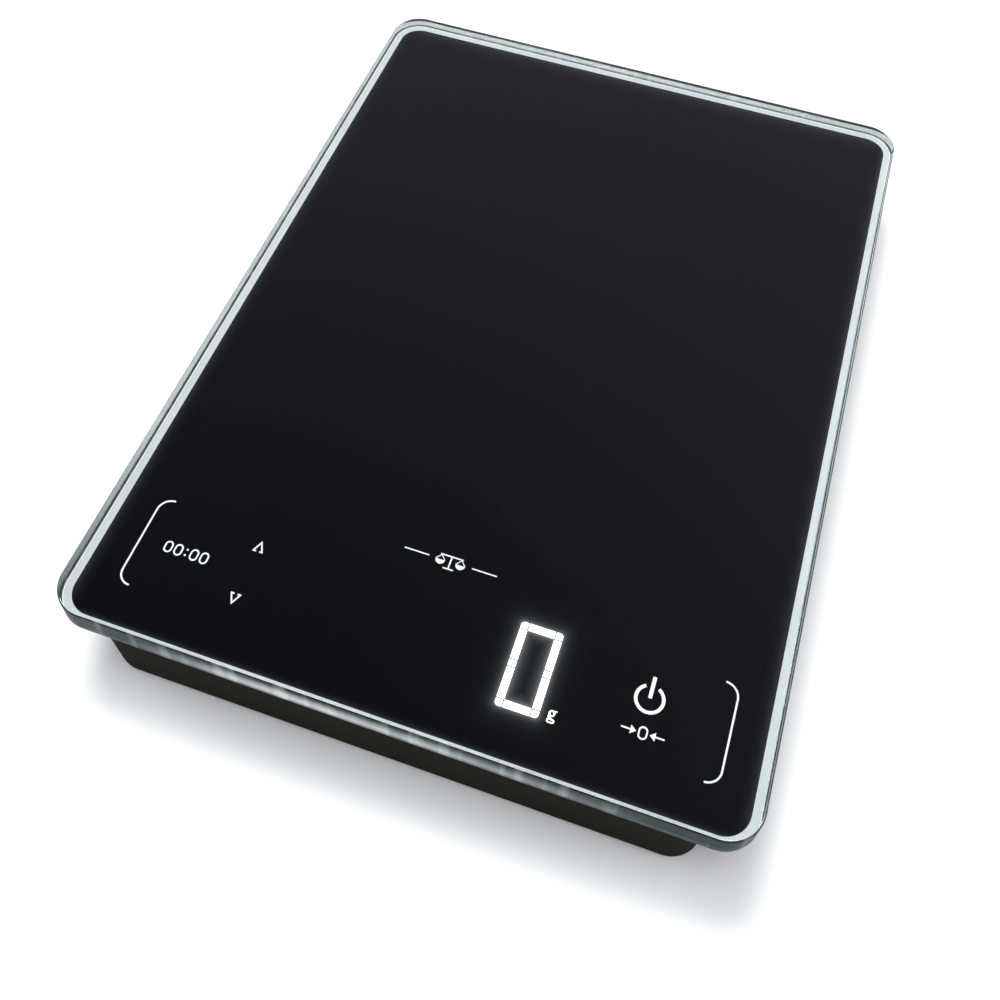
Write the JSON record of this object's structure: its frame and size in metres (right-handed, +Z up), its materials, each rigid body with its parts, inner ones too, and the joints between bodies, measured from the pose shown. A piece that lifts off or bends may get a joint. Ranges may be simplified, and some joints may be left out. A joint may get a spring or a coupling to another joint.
{
  "type": "kitchen scale",
  "caption": "Slim digital kitchen scale: black glass weighing platform with clear rim, touch keys and LED display, on a shallow drafted black housing with load-cell feet and a battery door",
  "frame": {"origin": "on the table plane under the middle of the glass platform", "axes": "+Z up, +Y from the display edge toward the back, +X to the right of a user who faces the display"},
  "size_m": [0.19, 0.26, 0.033],
  "materials": {
    "clear_glass": "polished, bevelled edges",
    "black_print": "gloss black print seen through the glass",
    "pale_border": "pale grey border print",
    "white_print": "white symbols",
    "smoked_window": "smoked film",
    "foam_tape": "matte foam tape",
    "housing_plastic": "fine spark-eroded texture",
    "tray_plastic": "moulded",
    "foam": "open-cell foam",
    "battery_can": "printed sleeve, plain",
    "spring_steel": "nickel plated",
    "board_green": "solder mask",
    "chip_black": "moulded epoxy",
    "component_ceramic": "small parts",
    "ivory_plastic": "plug housings",
    "reflector_white": "white light box",
    "led_chip": "phosphor dome",
    "diffuser_white": "milky film",
    "contact_brass": "bright",
    "buzzer_black": "moulded",
    "switch_black": "moulded",
    "switch_red": "moulded",
    "button_grey": "moulded, satin",
    "cell_steel": "stamped and ground",
    "gauge_foil": "polyimide foil",
    "retainer_plastic": "moulded",
    "foot_plastic": "moulded",
    "foot_rubber": "matte silicone",
    "screw_steel": "zinc plated",
    "wire_red": "insulation",
    "wire_blue": "insulation",
    "wire_black": "insulation",
    "label_silver": "blank silver label"
  },
  "bodies": {
    "scale_body": {"glass_platform": "clear_glass", "black_print_layer": "black_print", "border_print_layer": "pale_border", "printed_symbols": "white_print", "display_window": "smoked_window", "adhesive_tape": "foam_tape", "upper_tray": "tray_plastic", "lower_housing": "housing_plastic", "battery_1": "battery_can", "battery_2": "battery_can", "battery_3": "battery_can", "battery_springs": "spring_steel", "battery_plates": "spring_steel", "main_board": "board_green", "microcontroller": "chip_black", "display_driver": "chip_black", "board_components": "component_ceramic", "board_connectors": "ivory_plastic", "display_reflector": "reflector_white", "display_leds": "led_chip", "display_diffuser": "diffuser_white", "touch_springs": "contact_brass", "buzzer": "buzzer_black", "switch_body": "switch_black", "load_cell_front_left": "cell_steel", "load_cell_front_right": "cell_steel", "load_cell_rear_left": "cell_steel", "load_cell_rear_right": "cell_steel", "cell_retainer_front_left": "retainer_plastic", "cell_retainer_front_right": "retainer_plastic", "cell_retainer_rear_left": "retainer_plastic", "cell_retainer_rear_right": "retainer_plastic", "strain_gauges": "gauge_foil", "housing_screws": "screw_steel", "retainer_screws": "screw_steel", "board_screws": "screw_steel", "cell_wires_front": "wire_red", "cell_wires_rear": "wire_blue", "battery_wire_plus": "wire_red", "battery_wire_minus": "wire_black", "rating_label": "label_silver"},
    "battery_door": {"battery_door": "housing_plastic", "door_seal": "foam"},
    "unit_key": {"unit_button": "button_grey", "switch_plunger": "switch_red"},
    "foot_front_left": {"foot_cup_front_left": "foot_plastic", "foot_pad_front_left": "foot_rubber"},
    "foot_front_right": {"foot_cup_front_right": "foot_plastic", "foot_pad_front_right": "foot_rubber"},
    "foot_rear_left": {"foot_cup_rear_left": "foot_plastic", "foot_pad_rear_left": "foot_rubber"},
    "foot_rear_right": {"foot_cup_rear_right": "foot_plastic", "foot_pad_rear_right": "foot_rubber"}
  },
  "joints": [
    {"name": "battery_door_hinge", "type": "hinge", "parent": "scale_body", "child": "battery_door", "pos_m": [0, 0.07525, 0.0036], "axis": [1, 0, 0], "range_deg": [0, 90]},
    {"name": "unit_key_press", "type": "slide", "parent": "scale_body", "child": "unit_key", "axis": [0, 0, 1], "range_m": [0, 0.0003], "stiffness_N_per_m": 600, "springref_m": -0.0002},
    {"name": "foot_front_left_travel", "type": "slide", "parent": "scale_body", "child": "foot_front_left", "axis": [0, 0, 1], "range_m": [0, 0.00035], "stiffness_N_per_m": 12000},
    {"name": "foot_front_right_travel", "type": "slide", "parent": "scale_body", "child": "foot_front_right", "axis": [0, 0, 1], "range_m": [0, 0.00035], "stiffness_N_per_m": 12000},
    {"name": "foot_rear_left_travel", "type": "slide", "parent": "scale_body", "child": "foot_rear_left", "axis": [0, 0, 1], "range_m": [0, 0.00035], "stiffness_N_per_m": 12000},
    {"name": "foot_rear_right_travel", "type": "slide", "parent": "scale_body", "child": "foot_rear_right", "axis": [0, 0, 1], "range_m": [0, 0.00035], "stiffness_N_per_m": 12000}
  ]
}
